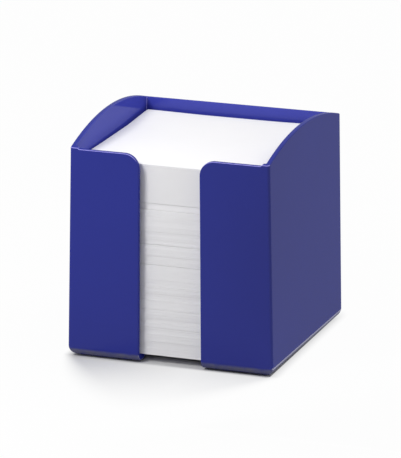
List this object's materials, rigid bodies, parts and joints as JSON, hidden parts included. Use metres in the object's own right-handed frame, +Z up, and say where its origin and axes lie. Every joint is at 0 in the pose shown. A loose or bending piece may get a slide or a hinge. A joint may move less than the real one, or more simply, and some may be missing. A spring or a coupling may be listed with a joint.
{
  "type": "memo sheet box",
  "caption": "Open-topped glossy plastic desk box with arched side walls and a full-height front slot, holding a stack of loose square memo sheets.",
  "frame": {"origin": "middle of the standing plane below the box", "axes": "+Z up, -Y towards the open front slot, +X to the right seen from the front"},
  "size_m": [0.101, 0.099, 0.1065],
  "materials": {
    "blue_plastic": "glossy moulded, royal blue",
    "memo_paper": "matt white writing paper"
  },
  "bodies": {
    "holder": {"holder_box": "blue_plastic"},
    "refill": {"sheet_pack_01": "memo_paper", "sheet_pack_02": "memo_paper", "sheet_pack_03": "memo_paper", "sheet_pack_04": "memo_paper", "sheet_pack_05": "memo_paper", "sheet_pack_06": "memo_paper", "sheet_pack_07": "memo_paper", "sheet_pack_08": "memo_paper", "sheet_pack_09": "memo_paper", "sheet_pack_10": "memo_paper", "sheet_pack_11": "memo_paper", "sheet_pack_12": "memo_paper", "sheet_pack_13": "memo_paper", "sheet_pack_14": "memo_paper", "sheet_pack_15": "memo_paper", "sheet_pack_16": "memo_paper"},
    "upper_wad": {"sheet_pack_17": "memo_paper", "sheet_pack_18": "memo_paper", "sheet_pack_19": "memo_paper"},
    "loose_sheet": {"top_sheet": "memo_paper"}
  },
  "joints": [
    {"name": "refill_lift", "type": "slide", "parent": "holder", "child": "refill", "axis": [0, 0, 1], "range_m": [0, 0.112]},
    {"name": "upper_lift", "type": "slide", "parent": "refill", "child": "upper_wad", "axis": [0, 0, 1], "range_m": [0, 0.045]},
    {"name": "top_sheet_lift", "type": "slide", "parent": "upper_wad", "child": "loose_sheet", "axis": [0, 0, 1], "range_m": [0, 0.03]}
  ]
}
